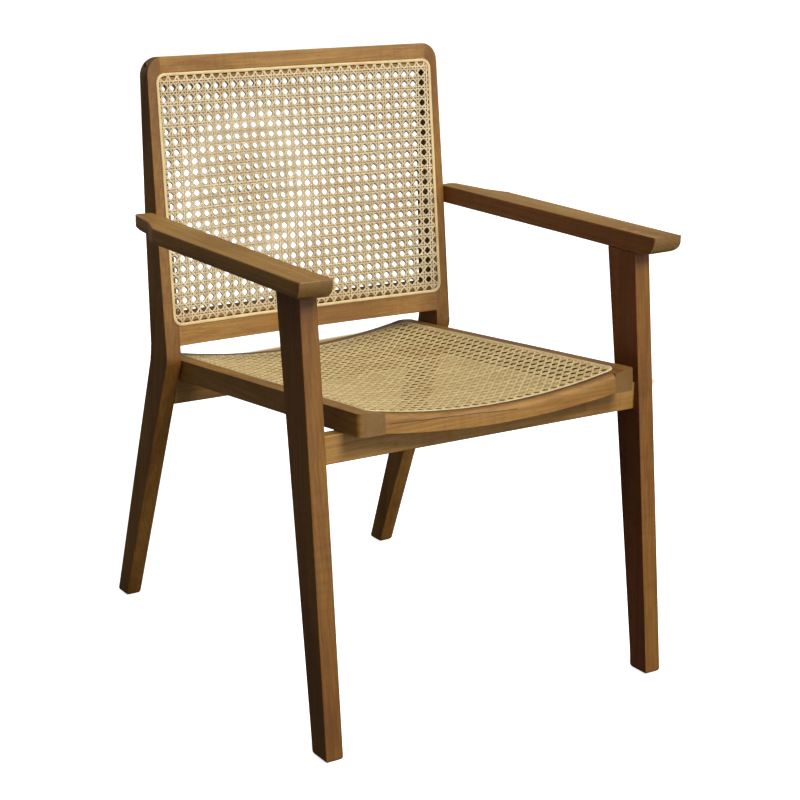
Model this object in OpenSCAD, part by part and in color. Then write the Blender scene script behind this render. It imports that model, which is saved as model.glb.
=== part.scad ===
// Cane armchair: a beech frame with a bent back leg, flat arms, a dished seat frame
// resting on two stretchers, and cane webbing pressed into grooves by a rattan spline.
// The front is towards -Y, the origin is on the floor in the middle of the chair.

/* [Overall] */
// Height of the back above the floor
overall_h = 800; // [785:1:820]
// Depth from the front feet to the back feet
overall_d = 655; // [645:1:670]
// Width over the arms
overall_w = 567; // [560:1:576]
// Radius of the eased edges under the feet
foot_r = 3; // [2:0.5:5]
// Height of the top faces of the arms
arm_h = 594.5; // [585:0.5:605]
// Height of the seat frame's front edge
seat_h = 430.5; // [426:0.5:436]

/* [Front legs] */
// Thickness of a front leg across the chair
front_leg_t = 24; // [22:0.5:28]
// Depth of a front leg at the floor
front_foot_d = 33; // [30:1:38]
// Depth of a front leg under the arm
front_head_d = 57; // [52:1:62]
// Slope of a front leg's front face, in degrees
front_rake = 6.1; // [5.5:0.1:6.6]

/* [Back legs] */
// How much closer together the back legs stand than the front legs
back_closer = 55; // [51:0.5:56]
// Thickness of a back leg across the chair
back_leg_t = 22; // [20:0.5:25]
// Depth of a back leg at the floor
back_foot_d = 28; // [25:1:32]
// Height of the bend in the back legs
knee_h = 393; // [388:1:398]
// Depth of a back leg at its bend
knee_d = 50; // [47:1:54]
// Radius that softens the bend behind
knee_r = 60; // [30:5:80]
// Radius that softens the bend in front
knee_front_r = 30; // [15:5:40]
// Slope of the lower back leg, in degrees
leg_rake = 21.6; // [21:0.1:22.2]
// Lean of the upper back leg, in degrees
post_lean = 6.5; // [6:0.1:7.2]
// Depth of a back leg at its top
post_top_d = 22; // [20:1:26]
// Thickness of a back leg at its top
post_top_t = 19.5; // [18:0.5:22]
// Radius of the back's top corners
post_corner_r = 24; // [16:1:28]

/* [Back rails] */
// Height of the top rail
top_rail_h = 37; // [34:1:46]
// Height of the bottom rail
bottom_rail_h = 42; // [39:1:50]
// Height of the bottom rail above the bend, along the leg
bottom_rail_up = 20; // [16:1:26]
// Least clear height between the seat frame and the bottom rail
seat_clear = 20; // [14:1:26]
// How far the middle of the back curves away from the sitter
back_hollow = 11.5; // [8:0.5:14]

/* [Arms] */
// Thickness of an arm at its inner edge
arm_inner_t = 25; // [24:0.5:30]
// Thickness of an arm at its outer edge
arm_outer_t = 22; // [19:0.5:24]
// Width of an arm over the front leg
arm_w = 45; // [40:0.5:52]
// Width of an arm at its rear end, outside the back leg
arm_rear_w = 27; // [24:0.5:34]
// Width of an arm behind its kink, outside the back leg
arm_waist_w = 36; // [32:0.5:44]
// How far an arm reaches in front of the front leg
arm_front_over = 37; // [28:1:46]
// How far an arm laps the side of the back leg
arm_lap = 15.5; // [15:0.5:20]
// Length of the narrow rear stretch of an arm, behind its kink
arm_taper_l = 105; // [80:1:125]
// Length of the short taper just behind the kink
arm_kink_l = 42; // [30:1:60]
// Radius under the front end of an arm
arm_tip_r = 22; // [12:1:23]
// Radius under the rear end of an arm
arm_rear_r = 20; // [10:1:22]
// Radius under the outer edge of an arm, in front of its kink
arm_under_r = 8; // [3:0.5:16]
// Radius under the outer edge of an arm, behind its kink
arm_rear_under_r = 14; // [4:0.5:17]
// Radius that softens the kink in an arm's outer edge
kink_r = 20; // [5:5:40]
// Plan radius of the front corners of an arm
tip_corner_r = 2; // [1:0.5:4]
// Plan radius of an arm's outer rear corner
arm_rear_corner_r = 10; // [6:1:16]

/* [Stretchers] */
// Height of a stretcher
stretcher_h = 36; // [32:1:42]
// Thickness of the front stretcher
front_stretcher_t = 22; // [18:0.5:26]
// Thickness of the rear stretcher
rear_stretcher_t = 18; // [16:0.5:18.5]
// How far the front stretcher lies behind the front of the legs
front_stretcher_back = 10; // [7:0.5:14]
// How far the rear stretcher lies behind the front of the leg
rear_stretcher_back = 4.8; // [3:0.2:5]

/* [Seat frame] */
// Gap between the seat frame and each back leg
seat_leg_gap = 2.5; // [1.5:0.5:5]
// How far the seat frame reaches behind the front of the rear stretcher
seat_rear_over = 51.1; // [50:0.1:58]
// Slope of the seat frame towards the back, in degrees
seat_tilt = 4.8; // [4.4:0.1:5]
// How far the seat frame reaches in front of the front stretcher
seat_over = 38; // [37:0.5:42]
// Width of the side rails and the front rail
seat_rail_w = 34.5; // [33:0.5:36]
// Width of the rear rail
rear_rail_w = 28; // [27:0.5:28.5]
// Thickness of the side rails
seat_rail_t = 28.5; // [27:0.5:33]
// Plan radius of the seat frame's corners
seat_corner_r = 12; // [6:1:22]
// How far the middle of the seat lies below its sides
seat_dish = 19; // [14:0.5:21]
// How far the bottoms of the front and rear rails bow down
rail_bow = 12; // [8:0.5:16]
// Radius along the top front edge of the front rail
front_edge_r = 7; // [3:0.5:9]

/* [Cane and splines] */
// Thickness of the cane webbing
cane_t = 1.2; // [1:0.1:1.8]
// Width of the groove that holds the webbing
groove_w = 6; // [5.5:0.1:6.5]
// Depth of that groove
groove_deep = 5; // [4:0.5:6]
// Width of the rattan spline
spline_w = 4.4; // [3.8:0.1:4.5]
// How far the spline stands out of the wood
spline_proud = 1.7; // [1.5:0.1:3]
// Plain wood between the back groove and the outer side of the back leg
back_margin = 13.7; // [13:0.1:15]
// Plain wood between the groove and the top of the back
top_margin = 21.5; // [18:0.5:24]
// Plain wood between the groove and the bottom of the back
bottom_margin = 27; // [24:0.5:29]
// Plain wood between the seat groove and the sides and front
seat_margin = 18; // [16:0.5:19]
// Plain wood between the seat groove and the rear edge
rear_margin = 17.5; // [14:0.5:18]
// Outer corner radius of the grooves
groove_r = 14; // [10:0.5:18]
// Gaps across the modelled back net, far fewer than in real webbing
back_net_columns = 11; // [8:1:13]
// Gaps up the modelled back net
back_net_rows = 9; // [6:1:10]
// Gaps across the modelled seat net
seat_net_columns = 9; // [7:1:10]
// Gaps along the modelled seat net
seat_net_rows = 12; // [8:1:13]
// Width of one gap as a share of its cell
net_gap_share = 0.6; // [0.4:0.05:0.7]

/* [Fastenings] */
// Diameter of a beech dowel
dowel_d = 8; // [6:0.5:9]
// Length of a dowel
dowel_l = 32; // [26:1:34]
// Distance between the two dowels of a stretcher or back rail
dowel_pitch = 16; // [14:0.5:18]
// Distance between the two dowels at a corner of the seat frame
seat_dowel_pitch = 13; // [11:0.5:14]
// Shank diameter of the wood screws
screw_d = 4.5; // [3.5:0.1:5.5]
// Head diameter of the wood screws
screw_head_d = 7.6; // [7:0.1:7.8]
// Height of a screw head
screw_head_h = 2.6; // [2:0.1:3.2]
// Length of the screws that hold an arm on its front leg
arm_screw_l = 50; // [42:1:60]
// How deep the dowel between an arm and a back leg goes into the leg
lap_dowel_in = 10; // [8:0.5:11]
// Distance of that dowel from the rear end of the arm
lap_dowel_from_end = 7.5; // [7:0.5:8.5]
// Length of the screws that hold the seat frame
seat_screw_l = 40; // [34:1:42]
// How deep a seat screw goes into the side rail
seat_screw_grip = 17.7; // [14:0.1:18]
// Distance of the seat screws from the inner edge of the side rail
seat_screw_in = 11.5; // [10.5:0.5:13]
// Diameter of the wooden plugs and of their holes
plug_d = 8.2; // [8:0.1:9]
// Length of a wooden plug
plug_l = 5; // [4:0.5:6]
// Distance of the plugs from the inner edge of the arm
plug_in = 9; // [8:0.5:13]
// Distance from the leg's front to the first plug
plug_back = 11; // [9:0.5:14]
// Distance between the two plugs on an arm
plug_pitch = 24.5; // [20:0.5:28]

/* [Hidden] */

wood = [0.66, 0.46, 0.25];
dark_wood = [0.60, 0.41, 0.22];
plug_wood = [0.78, 0.60, 0.38];
cane = [0.84, 0.72, 0.48];
rattan = [0.88, 0.76, 0.52];
steel = [0.72, 0.72, 0.74];

// Small clearances: between a dowel or screw and its hole, between pieces that only
// lie against each other, and the glue space at the end of a dowel.
fit = 0.1;
rest = 0.15;
glue_space = 1;
// Spare length of a cutting shape beyond the piece that it cuts.
over = 2;
round_steps = 10;
bowl_steps = 360;
hole_steps = 32;

// Clear widths between the front legs and between the back legs.
front_gap = overall_w - 2*arm_w;
back_gap = front_gap - back_closer;

// Lines of the legs in side view, as Y at a height Z.
front_leg_inner = front_gap/2;
front_leg_outer = front_leg_inner + front_leg_t;
front_foot_y = -overall_d/2;
function front_leg_y(z) = front_foot_y + z*tan(front_rake);
back_leg_inner = back_gap/2;
back_leg_outer = back_leg_inner + back_leg_t;
back_foot_y = overall_d/2 - back_foot_d;
knee_y = back_foot_y - knee_h*tan(leg_rake);
function back_leg_y(z) = knee_y + (z < knee_h ? (knee_h - z)*tan(leg_rake) : (z - knee_h)*tan(post_lean));
post_l = (overall_h - knee_h)/cos(post_lean);
// The back face of the post, in the leg's own axes: depth at the bend and at the top.
post_knee_d = knee_d*cos(post_lean);
post_taper = atan((post_knee_d - post_top_d)/post_l);
// How far along the back face its bend lies above the front one.
knee_drop = 9.6;
function post_depth(z) = post_knee_d - z*tan(post_taper);

// The arm's underside slopes up from its inner edge to its outer edge.
arm_inner_x = front_leg_inner;
arm_outer_x = arm_inner_x + arm_w;
arm_rise = (arm_inner_t - arm_outer_t)/arm_w;
arm_low_z = arm_h - arm_inner_t;
function arm_under(x) = arm_low_z + (x - arm_inner_x)*arm_rise;
leg_head_z = arm_under(front_leg_outer);
arm_front_y = front_leg_y(arm_low_z) - arm_front_over;
arm_rear_y = back_leg_y(arm_low_z) + arm_lap;
arm_kink_y = arm_rear_y - arm_taper_l;
arm_rear_x = back_leg_outer + arm_rear_w;
arm_waist_x = back_leg_outer + arm_waist_w;
arm_waist_y = arm_kink_y + arm_kink_l;
leg_head_back_y = front_leg_y(leg_head_z) + front_head_d;

// The seat frame's own axes start at the middle of its top front edge.
front_stretcher_y = front_leg_y(seat_h - seat_rail_t - stretcher_h/2) + front_stretcher_back;
seat_front_y = front_stretcher_y - seat_over;
seat_w = back_gap - 2*seat_leg_gap;
seat_half = seat_w/2;
rail_inner_x = seat_half - seat_rail_w;
function seat_under(y) = seat_h - (y - seat_front_y)*tan(seat_tilt) - seat_rail_t/cos(seat_tilt);
rear_stretcher_guess = back_leg_y(seat_under(knee_y) - stretcher_h/2);
rear_stretcher_y = rear_stretcher_guess + rear_stretcher_back;
seat_groove_x = seat_half - seat_margin;
seat_d = (rear_stretcher_y + seat_rear_over - seat_front_y)/cos(seat_tilt);
seat_rear_z = seat_h - seat_d*sin(seat_tilt);
seat_bowl_r = (seat_groove_x*seat_groove_x + seat_dish*seat_dish)/(2*seat_dish);
rail_bow_r = (rail_inner_x*rail_inner_x + rail_bow*rail_bow)/(2*rail_bow);
function seat_bowl_drop(x) = seat_dish - x*x/(2*seat_bowl_r);

// The back's own axes start at the bend, with Z up along the leg and Y away from the sitter.
back_groove_x = back_leg_outer - back_margin;
back_bowl_x = back_groove_x - groove_w/2;
back_bowl_r = (back_bowl_x*back_bowl_x + back_hollow*back_hollow)/(2*back_hollow);
bottom_rail_low = max(bottom_rail_up, (seat_rear_z + seat_clear - knee_h)/cos(post_lean));
back_groove_low = bottom_rail_low + bottom_margin;
// The post keeps its thickness up to the top of the arm.
post_even_l = (arm_h - knee_h)/cos(post_lean);
back_groove_high = post_l - top_margin;

// Points of an arc that softens the corner at b between a and c.
function unit(v) = v/norm(v);
function soft_corner(a, b, c, r) =
    let (u = unit(a - b), v = unit(c - b))
    let (half = acos(u*v)/2)
    let (centre = b + unit(u + v)*r/sin(half))
    let (from = b + u*r/tan(half) - centre, to = b + v*r/tan(half) - centre)
    let (start = atan2(from[1], from[0]), turn = atan2(to[1], to[0]) - start)
    let (sweep = turn > 180 ? turn - 360 : turn < -180 ? turn + 360 : turn)
    [for (i = [0:round_steps]) centre + r*[cos(start + sweep*i/round_steps), sin(start + sweep*i/round_steps)]];

// Extrude an outline drawn in Y and Z across the chair, from x = a to x = b.
module across(a, b) {
    translate([a, 0, 0])
        rotate([90, 0, 90])
            linear_extrude(b - a)
                children();
}

// Extrude an outline drawn in X and Z from y = a to y = b.
module along(a, b) {
    translate([0, b, 0])
        rotate([90, 0, 0])
            linear_extrude(b - a)
                children();
}

module on_back() {
    translate([0, knee_y, knee_h])
        rotate([-post_lean, 0, 0])
            children();
}

// The back face of the back has the same axes, turned by the taper of the post.
module on_back_rear() {
    on_back()
        translate([0, post_knee_d, 0])
            rotate([post_taper, 0, 0])
                children();
}

module on_seat() {
    translate([0, seat_front_y, seat_h])
        rotate([-seat_tilt, 0, 0])
            children();
}

// Outlines

module rounded_box(w, h, r) {
    square([w - 2*r, h], center = true);
    square([w, h - 2*r], center = true);
    for (x = [-1, 1], y = [-1, 1])
        translate([x*(w/2 - r), y*(h/2 - r)])
            circle(r, $fn = hole_steps);
}

// The band between two rounded boxes, inset from the groove's outer line.
module groove_band(w, h, inset, width) {
    difference() {
        rounded_box(w - 2*inset, h - 2*inset, groove_r - inset);
        rounded_box(w - 2*(inset + width), h - 2*(inset + width), groove_r - inset - width);
    }
}

// A woven sheet reduced to a net: square gaps in nearly square cells.
module net(w, h, r, columns, rows) {
    cell_w = w/(columns + 1);
    cell_h = h/(rows + 1);
    gap = min(cell_w, cell_h)*net_gap_share;
    difference() {
        rounded_box(w, h, r);
        for (i = [1:columns], j = [1:rows])
            translate([(i - (columns + 1)/2)*cell_w, (j - (rows + 1)/2)*cell_h])
                square(gap, center = true);
    }
}

// Fastenings, each along +Z

module dowel_at(grow = 0) {
    translate([0, 0, -dowel_l/2 - (grow > 0 ? glue_space : 0)])
        cylinder(d = dowel_d + 2*grow, h = dowel_l + (grow > 0 ? 2*glue_space : 0), $fn = hole_steps);
}

// A countersunk wood screw: the head's top is at z = 0 and the point looks down.
module wood_screw(l) {
    point = screw_d;
    translate([0, 0, -screw_head_h])
        cylinder(d = screw_head_d, h = screw_head_h, $fn = hole_steps);
    translate([0, 0, -l + point])
        cylinder(d = screw_d, h = l - point - screw_head_h, $fn = hole_steps);
    translate([0, 0, -l])
        cylinder(d1 = screw_d/4, d2 = screw_d, h = point, $fn = hole_steps);
}

// The hole for a screw, with a wider bore of the given length above its head.
module screw_hole(l, bore) {
    translate([0, 0, -screw_head_h - rest])
        cylinder(d = plug_d, h = screw_head_h + rest + bore, $fn = hole_steps);
    translate([0, 0, -l - glue_space])
        cylinder(d = screw_d + 2*fit, h = l + glue_space, $fn = hole_steps);
}

module plug_body() {
    translate([0, 0, -plug_l])
        cylinder(d = plug_d - 2*fit, h = plug_l, $fn = hole_steps);
}

// Places of the fastenings, used by the pieces and by their holes alike

module at_stretcher_dowels() {
    for (side = [-1, 1], up = [-1, 1]) {
        translate([side*front_leg_inner, front_stretcher_y + front_stretcher_t/2, front_stretcher_mid() + up*dowel_pitch/2])
            rotate([0, 90, 0])
                children();
        translate([side*back_leg_inner, rear_stretcher_y + rear_stretcher_t/2, rear_stretcher_mid() + up*dowel_pitch/2])
            rotate([0, 90, 0])
                children();
    }
}

module at_back_dowels() {
    on_back()
        for (side = [-1, 1], up = [-1, 1], z = [bottom_rail_low + bottom_rail_h/2, post_l - top_rail_h/2])
            translate([side*back_leg_inner, post_depth(z)/2, z + up*dowel_pitch/2])
                rotate([0, 90, 0])
                    children();
}

module at_seat_dowels() {
    on_seat()
        for (side = [-1, 1], step = [-1, 1], y = [seat_rail_w/2, seat_d - rear_rail_w/2])
            translate([side*rail_inner_x, y + step*seat_dowel_pitch/2, -(seat_rail_t + seat_bowl_drop(rail_inner_x))/2])
                rotate([0, 90, 0])
                    children();
}

module at_arm_screws() {
    for (side = [-1, 1], step = [0, 1])
        translate([side*(arm_inner_x + plug_in), front_leg_y(arm_low_z) + plug_back + step*plug_pitch, arm_h])
            children();
}

module at_arm_dowels() {
    for (side = [-1, 1])
        translate([side*(back_leg_outer - lap_dowel_in + dowel_l/2), arm_rear_y - lap_dowel_from_end, arm_h - dowel_d])
            rotate([0, 90, 0])
                children();
}

module at_seat_screws() {
    for (side = [-1, 1])
        translate([side*(rail_inner_x + seat_screw_in), 0, stretcher_h/2 + seat_screw_grip - seat_screw_l]) {
            translate([0, front_stretcher_y + front_stretcher_t/2, front_stretcher_mid()])
                rotate([180, 0, 0])
                    children();
            translate([0, rear_stretcher_y + rear_stretcher_t/2, rear_stretcher_mid()])
                rotate([180, 0, 0])
                    children();
        }
}

function front_stretcher_mid() = seat_under(front_stretcher_y) - rest - stretcher_h/2;
function rear_stretcher_mid() = seat_under(rear_stretcher_y) - rest - stretcher_h/2;

// Cutting shapes of the two hollow surfaces, as the inside of a wide cylinder.
// grow moves the surface into the wood, and a negative grow lifts it off.

module back_bowl(grow = 0) {
    translate([0, back_hollow - back_bowl_r, -2*over])
        cylinder(r = back_bowl_r + grow, h = post_l + 4*over, $fn = bowl_steps);
}

module seat_bowl(grow = 0) {
    translate([0, -over, seat_bowl_r - seat_dish])
        rotate([-90, 0, 0])
            cylinder(r = seat_bowl_r + grow, h = seat_d + 2*over, $fn = bowl_steps);
}

module back_layer(from, to) {
    intersection() {
        along(-knee_d, back_hollow + knee_d)
            children();
        difference() {
            back_bowl(to);
            back_bowl(from);
        }
    }
}

module seat_layer(from, to) {
    intersection() {
        translate([0, 0, -seat_dish - groove_deep - over])
            linear_extrude(seat_dish + groove_deep + spline_proud + 2*over)
                children();
        difference() {
            seat_bowl(to);
            seat_bowl(from);
        }
    }
}

// Bands of the grooves, drawn about the middle of each panel

back_field_w = 2*back_groove_x;
back_field_h = back_groove_high - back_groove_low;
seat_field_w = 2*seat_groove_x;
seat_field_h = seat_d - seat_margin - rear_margin;

module back_field() {
    translate([0, (back_groove_high + back_groove_low)/2])
        children();
}

module seat_field() {
    translate([0, seat_margin + seat_field_h/2])
        children();
}

module back_grooves() {
    on_back()
        back_layer(-over, groove_deep)
            back_field()
                groove_band(back_field_w, back_field_h, 0, groove_w);
    on_back_rear()
        back_layer(-groove_deep, over)
            back_field()
                groove_band(back_field_w, back_field_h, 0, groove_w);
}

module seat_groove() {
    on_seat()
        seat_layer(-over, groove_deep)
            seat_field()
                groove_band(seat_field_w, seat_field_h, 0, groove_w);
}

// The outer face of the post slants inwards from the arm to the top.
module outer_taper(side) {
    on_back()
        along(-knee_d, 2*knee_d)
            polygon([[side*back_leg_outer, post_even_l], [side*(back_leg_inner + post_top_t), post_l],
                [side*(back_leg_inner + post_top_t), post_l + over], [side*(back_leg_outer + over), post_l + over],
                [side*(back_leg_outer + over), post_even_l]]);
}

// The top corners are rounded after the rail and the posts are joined.
module top_corner(side) {
    top_outer = back_leg_inner + post_top_t;
    on_back()
        along(-knee_d, 2*knee_d)
            difference() {
                translate([side*(top_outer - post_corner_r/2 + over/2), post_l - post_corner_r/2 + over/2])
                    square(post_corner_r + over, center = true);
                translate([side*(top_outer - post_corner_r), post_l - post_corner_r])
                    circle(post_corner_r, $fn = hole_steps*2);
            }
}

// Legs

module front_leg(side) {
    foot_front = [front_foot_y, 0];
    foot_back = [front_foot_y + front_foot_d, 0];
    head_back = [leg_head_back_y, leg_head_z];
    head_front = [front_leg_y(leg_head_z), leg_head_z];
    difference() {
        intersection() {
            across(min(side*front_leg_inner, side*front_leg_outer), max(side*front_leg_inner, side*front_leg_outer))
                polygon(concat(soft_corner(head_front, foot_front, foot_back, foot_r),
                    soft_corner(foot_front, foot_back, head_back, foot_r), [head_back, head_front]));
            along(front_foot_y - over, leg_head_back_y + over)
                polygon([[side*(front_leg_inner - over), -over], [side*(front_leg_outer + over), -over],
                    [side*(front_leg_outer + over), arm_under(front_leg_outer + over) - fit],
                    [side*(front_leg_inner - over), arm_under(front_leg_inner - over) - fit]]);
        }
        at_stretcher_dowels()
            dowel_at(fit);
        at_arm_screws()
            translate([0, 0, -plug_l - rest])
                screw_hole(arm_screw_l, 0);
    }
}

module back_leg(side) {
    top_front = [back_leg_y(overall_h), overall_h];
    top_back = top_front + post_top_d*[cos(post_lean), -sin(post_lean)];
    knee_front = [knee_y, knee_h];
    knee_back = knee_front + post_knee_d*[cos(post_lean), -sin(post_lean)]
        + knee_drop*[sin(post_lean - post_taper), cos(post_lean - post_taper)];
    foot_front = [back_foot_y, 0];
    foot_back = [back_foot_y + back_foot_d, 0];
    inner = min(side*back_leg_inner, side*back_leg_outer);
    difference() {
        across(inner, inner + back_leg_t)
            polygon(concat(soft_corner(knee_front, foot_front, foot_back, foot_r),
                soft_corner(foot_front, foot_back, knee_back, foot_r),
                soft_corner(foot_back, knee_back, top_back, knee_r), [top_back, top_front],
                soft_corner(top_front, knee_front, foot_front, knee_front_r)));
        on_back()
            back_bowl();
        outer_taper(side);
        top_corner(side);
        back_grooves();
        at_back_dowels()
            dowel_at(fit);
        at_stretcher_dowels()
            dowel_at(fit);
        at_arm_dowels()
            dowel_at(fit);
    }
}

// An arm is the meeting of three outlines: its plan, its side view and its cross-section.

module arm_plan() {
    corner = [arm_rear_x, arm_rear_y];
    kink = [arm_outer_x, arm_kink_y];
    waist = [arm_waist_x, arm_waist_y];
    tip = [arm_outer_x, arm_front_y];
    inner_tip = [arm_inner_x, arm_front_y];
    inner_mid = [arm_inner_x, leg_head_back_y];
    lap_front = [back_leg_outer + fit, back_leg_y(arm_low_z)];
    lap_rear = [back_leg_outer + fit, arm_rear_y];
    polygon(concat([lap_rear, lap_front, inner_mid], soft_corner(inner_mid, inner_tip, tip, tip_corner_r),
        soft_corner(inner_tip, tip, kink, tip_corner_r), soft_corner(tip, kink, waist, kink_r),
        soft_corner(kink, waist, corner, kink_r), soft_corner(waist, corner, lap_rear, arm_rear_corner_r)));
}

module arm_side() {
    tip_top = [arm_front_y, arm_h];
    tip_low = [arm_front_y, arm_low_z];
    end_low = [arm_rear_y, arm_low_z];
    end_top = [arm_rear_y, arm_h];
    polygon(concat([end_top, tip_top], soft_corner(tip_top, tip_low, end_low, arm_tip_r),
        soft_corner(tip_low, end_low, end_top, arm_rear_r)));
}

// The cross-section of an arm whose outer edge lies at x, with a round of radius r below.
module arm_section(x, r) {
    low_x = back_leg_outer - over;
    top_in = [low_x, arm_h + over];
    low_in = [low_x, arm_under(low_x)];
    low_out = [x, arm_under(x)];
    top_out = [x, arm_h + over];
    polygon(concat([top_in, low_in], soft_corner(low_in, low_out, top_out, r), [top_out]));
}

// The round follows the outer edge, which turns inwards behind the kink.
module arm_sections() {
    along(arm_front_y - over, arm_waist_y)
        arm_section(arm_outer_x, arm_under_r);
    translate([arm_waist_x, arm_waist_y, 0])
        rotate(atan((arm_waist_x - arm_rear_x)/(arm_rear_y - arm_waist_y)))
            translate([-arm_waist_x, 0, 0])
                along(-over, arm_rear_y - arm_waist_y + over)
                    arm_section(arm_waist_x, arm_rear_under_r);
}

module arm_body() {
    difference() {
        intersection() {
            translate([0, 0, arm_low_z - over])
                linear_extrude(arm_inner_t + 2*over)
                    arm_plan();
            across(back_leg_outer - over, arm_outer_x + over)
                arm_side();
            arm_sections();
        }
        at_arm_screws()
            translate([0, 0, -plug_l - rest])
                screw_hole(arm_screw_l, plug_l + over);
        at_arm_dowels()
            dowel_at(fit);
    }
}

// Stretchers, with a top cut to the slope of the seat frame

module stretcher(y, t, half) {
    low = seat_under(y) - rest - stretcher_h;
    difference() {
        across(-half, half)
            polygon([[y, low], [y + t, low], [y + t, seat_under(y + t) - rest], [y, seat_under(y) - rest]]);
        at_stretcher_dowels()
            dowel_at(fit);
        at_seat_screws()
            screw_hole(seat_screw_l, stretcher_h);
    }
}

// Back rails

module back_rail(low, high) {
    difference() {
        intersection() {
            on_back()
                back_layer(0, back_hollow + knee_d)
                    translate([-back_leg_inner, low])
                        square([back_gap, high - low]);
            on_back_rear()
                back_bowl();
        }
        top_corner(-1);
        top_corner(1);
        back_grooves();
        at_back_dowels()
            dowel_at(fit);
    }
}

// Seat rails

module seat_plan() {
    translate([0, seat_d/2])
        rounded_box(seat_w, seat_d, seat_corner_r);
}

module side_rail(side) {
    difference() {
        on_seat()
            difference() {
                translate([0, 0, -seat_rail_t])
                    linear_extrude(seat_rail_t)
                        intersection() {
                            seat_plan();
                            translate([side*(seat_half - seat_rail_w/2), seat_d/2])
                                square([seat_rail_w, seat_d + 2*over], center = true);
                        }
                seat_bowl();
            }
        seat_groove();
        at_seat_dowels()
            dowel_at(fit);
        at_seat_screws()
            screw_hole(seat_screw_l, 0);
    }
}

module cross_rail(from, to) {
    difference() {
        on_seat()
            difference() {
                intersection() {
                    translate([0, from, -seat_rail_t - rail_bow - over])
                        linear_extrude(seat_rail_t + rail_bow + over)
                            translate([-rail_inner_x, 0])
                                square([2*rail_inner_x, to - from]);
                    translate([0, from - over, rail_bow_r - seat_rail_t - rail_bow])
                        rotate([-90, 0, 0])
                            cylinder(r = rail_bow_r, h = to - from + 2*over, $fn = bowl_steps);
                }
                seat_bowl();
            }
        seat_groove();
        at_seat_dowels()
            dowel_at(fit);
    }
}

// The softened front edge follows the hollow, so it is turned about the same axis.
module front_edge_round() {
    on_seat()
        translate([0, 0, seat_bowl_r - seat_dish])
            rotate([-90, 0, 0])
                rotate_extrude($fn = bowl_steps)
                    difference() {
                        translate([seat_bowl_r - over, -over])
                            square([front_edge_r + over, front_edge_r + over]);
                        translate([seat_bowl_r + front_edge_r, front_edge_r])
                            circle(front_edge_r, $fn = hole_steps*2);
                    }
}

// Cane sheets: the net lies on the wood and its rim turns down into the groove

sheet_inset = rest + spline_w + rest;
lip_t = groove_w - sheet_inset - rest;

// face is 1 on the front, where the webbing lies towards the bowl's axis, and -1 on the rear.
module back_sheet(face) {
    lie = -face*rest;
    top = -face*(rest + cane_t);
    bottom = face*(groove_deep - rest);
    back_layer(min(lie, top), max(lie, top))
        back_field()
            net(back_field_w - 2*sheet_inset, back_field_h - 2*sheet_inset, groove_r - sheet_inset,
                back_net_columns, back_net_rows);
    back_layer(min(bottom, top), max(bottom, top))
        back_field()
            groove_band(back_field_w, back_field_h, sheet_inset, lip_t);
}

module back_bead(face) {
    top = -face*spline_proud;
    bottom = face*(groove_deep - rest);
    back_layer(min(bottom, top), max(bottom, top))
        back_field()
            groove_band(back_field_w, back_field_h, rest, spline_w);
}

module seat_sheet() {
    on_seat() {
        seat_layer(-rest - cane_t, -rest)
            seat_field()
                net(seat_field_w - 2*sheet_inset, seat_field_h - 2*sheet_inset, groove_r - sheet_inset,
                    seat_net_columns, seat_net_rows);
        seat_layer(-rest - cane_t, groove_deep - rest)
            seat_field()
                groove_band(seat_field_w, seat_field_h, sheet_inset, lip_t);
    }
}

// The pieces

module left_front_leg() {
    color(wood) front_leg(-1);
}

module right_front_leg() {
    color(wood) front_leg(1);
}

module left_back_leg() {
    color(wood) back_leg(-1);
}

module right_back_leg() {
    color(wood) back_leg(1);
}

module left_arm() {
    color(wood) mirror([1, 0, 0]) arm_body();
}

module right_arm() {
    color(wood) arm_body();
}

module back_top_rail() {
    color(wood) back_rail(post_l - top_rail_h, post_l);
}

module back_bottom_rail() {
    color(wood) back_rail(bottom_rail_low, bottom_rail_low + bottom_rail_h);
}

module back_front_cane() {
    color(cane) on_back() back_sheet(1);
}

module back_rear_cane() {
    color(cane) on_back_rear() back_sheet(-1);
}

module back_front_spline() {
    color(rattan) on_back() back_bead(1);
}

module back_rear_spline() {
    color(rattan) on_back_rear() back_bead(-1);
}

module front_stretcher() {
    color(dark_wood) stretcher(front_stretcher_y, front_stretcher_t, front_leg_inner);
}

module rear_stretcher() {
    color(dark_wood) stretcher(rear_stretcher_y, rear_stretcher_t, back_leg_inner);
}

module seat_left_rail() {
    color(wood) side_rail(-1);
}

module seat_right_rail() {
    color(wood) side_rail(1);
}

module seat_front_rail() {
    color(wood)
        difference() {
            cross_rail(0, seat_rail_w);
            front_edge_round();
        }
}

module seat_rear_rail() {
    color(wood) cross_rail(seat_d - rear_rail_w, seat_d);
}

module seat_cane() {
    color(cane) seat_sheet();
}

module seat_spline() {
    color(rattan)
        on_seat()
            seat_layer(-spline_proud, groove_deep - rest)
                seat_field()
                    groove_band(seat_field_w, seat_field_h, rest, spline_w);
}

module stretcher_dowels() {
    color(plug_wood) at_stretcher_dowels() dowel_at();
}

module back_rail_dowels() {
    color(plug_wood) at_back_dowels() dowel_at();
}

module seat_frame_dowels() {
    color(plug_wood) at_seat_dowels() dowel_at();
}

module arm_dowels() {
    color(plug_wood) at_arm_dowels() dowel_at();
}

module arm_screws() {
    color(steel) at_arm_screws() translate([0, 0, -plug_l - rest]) wood_screw(arm_screw_l);
}

module arm_plugs() {
    color(plug_wood) at_arm_screws() plug_body();
}

module seat_screws() {
    color(steel) at_seat_screws() wood_screw(seat_screw_l);
}

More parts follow.
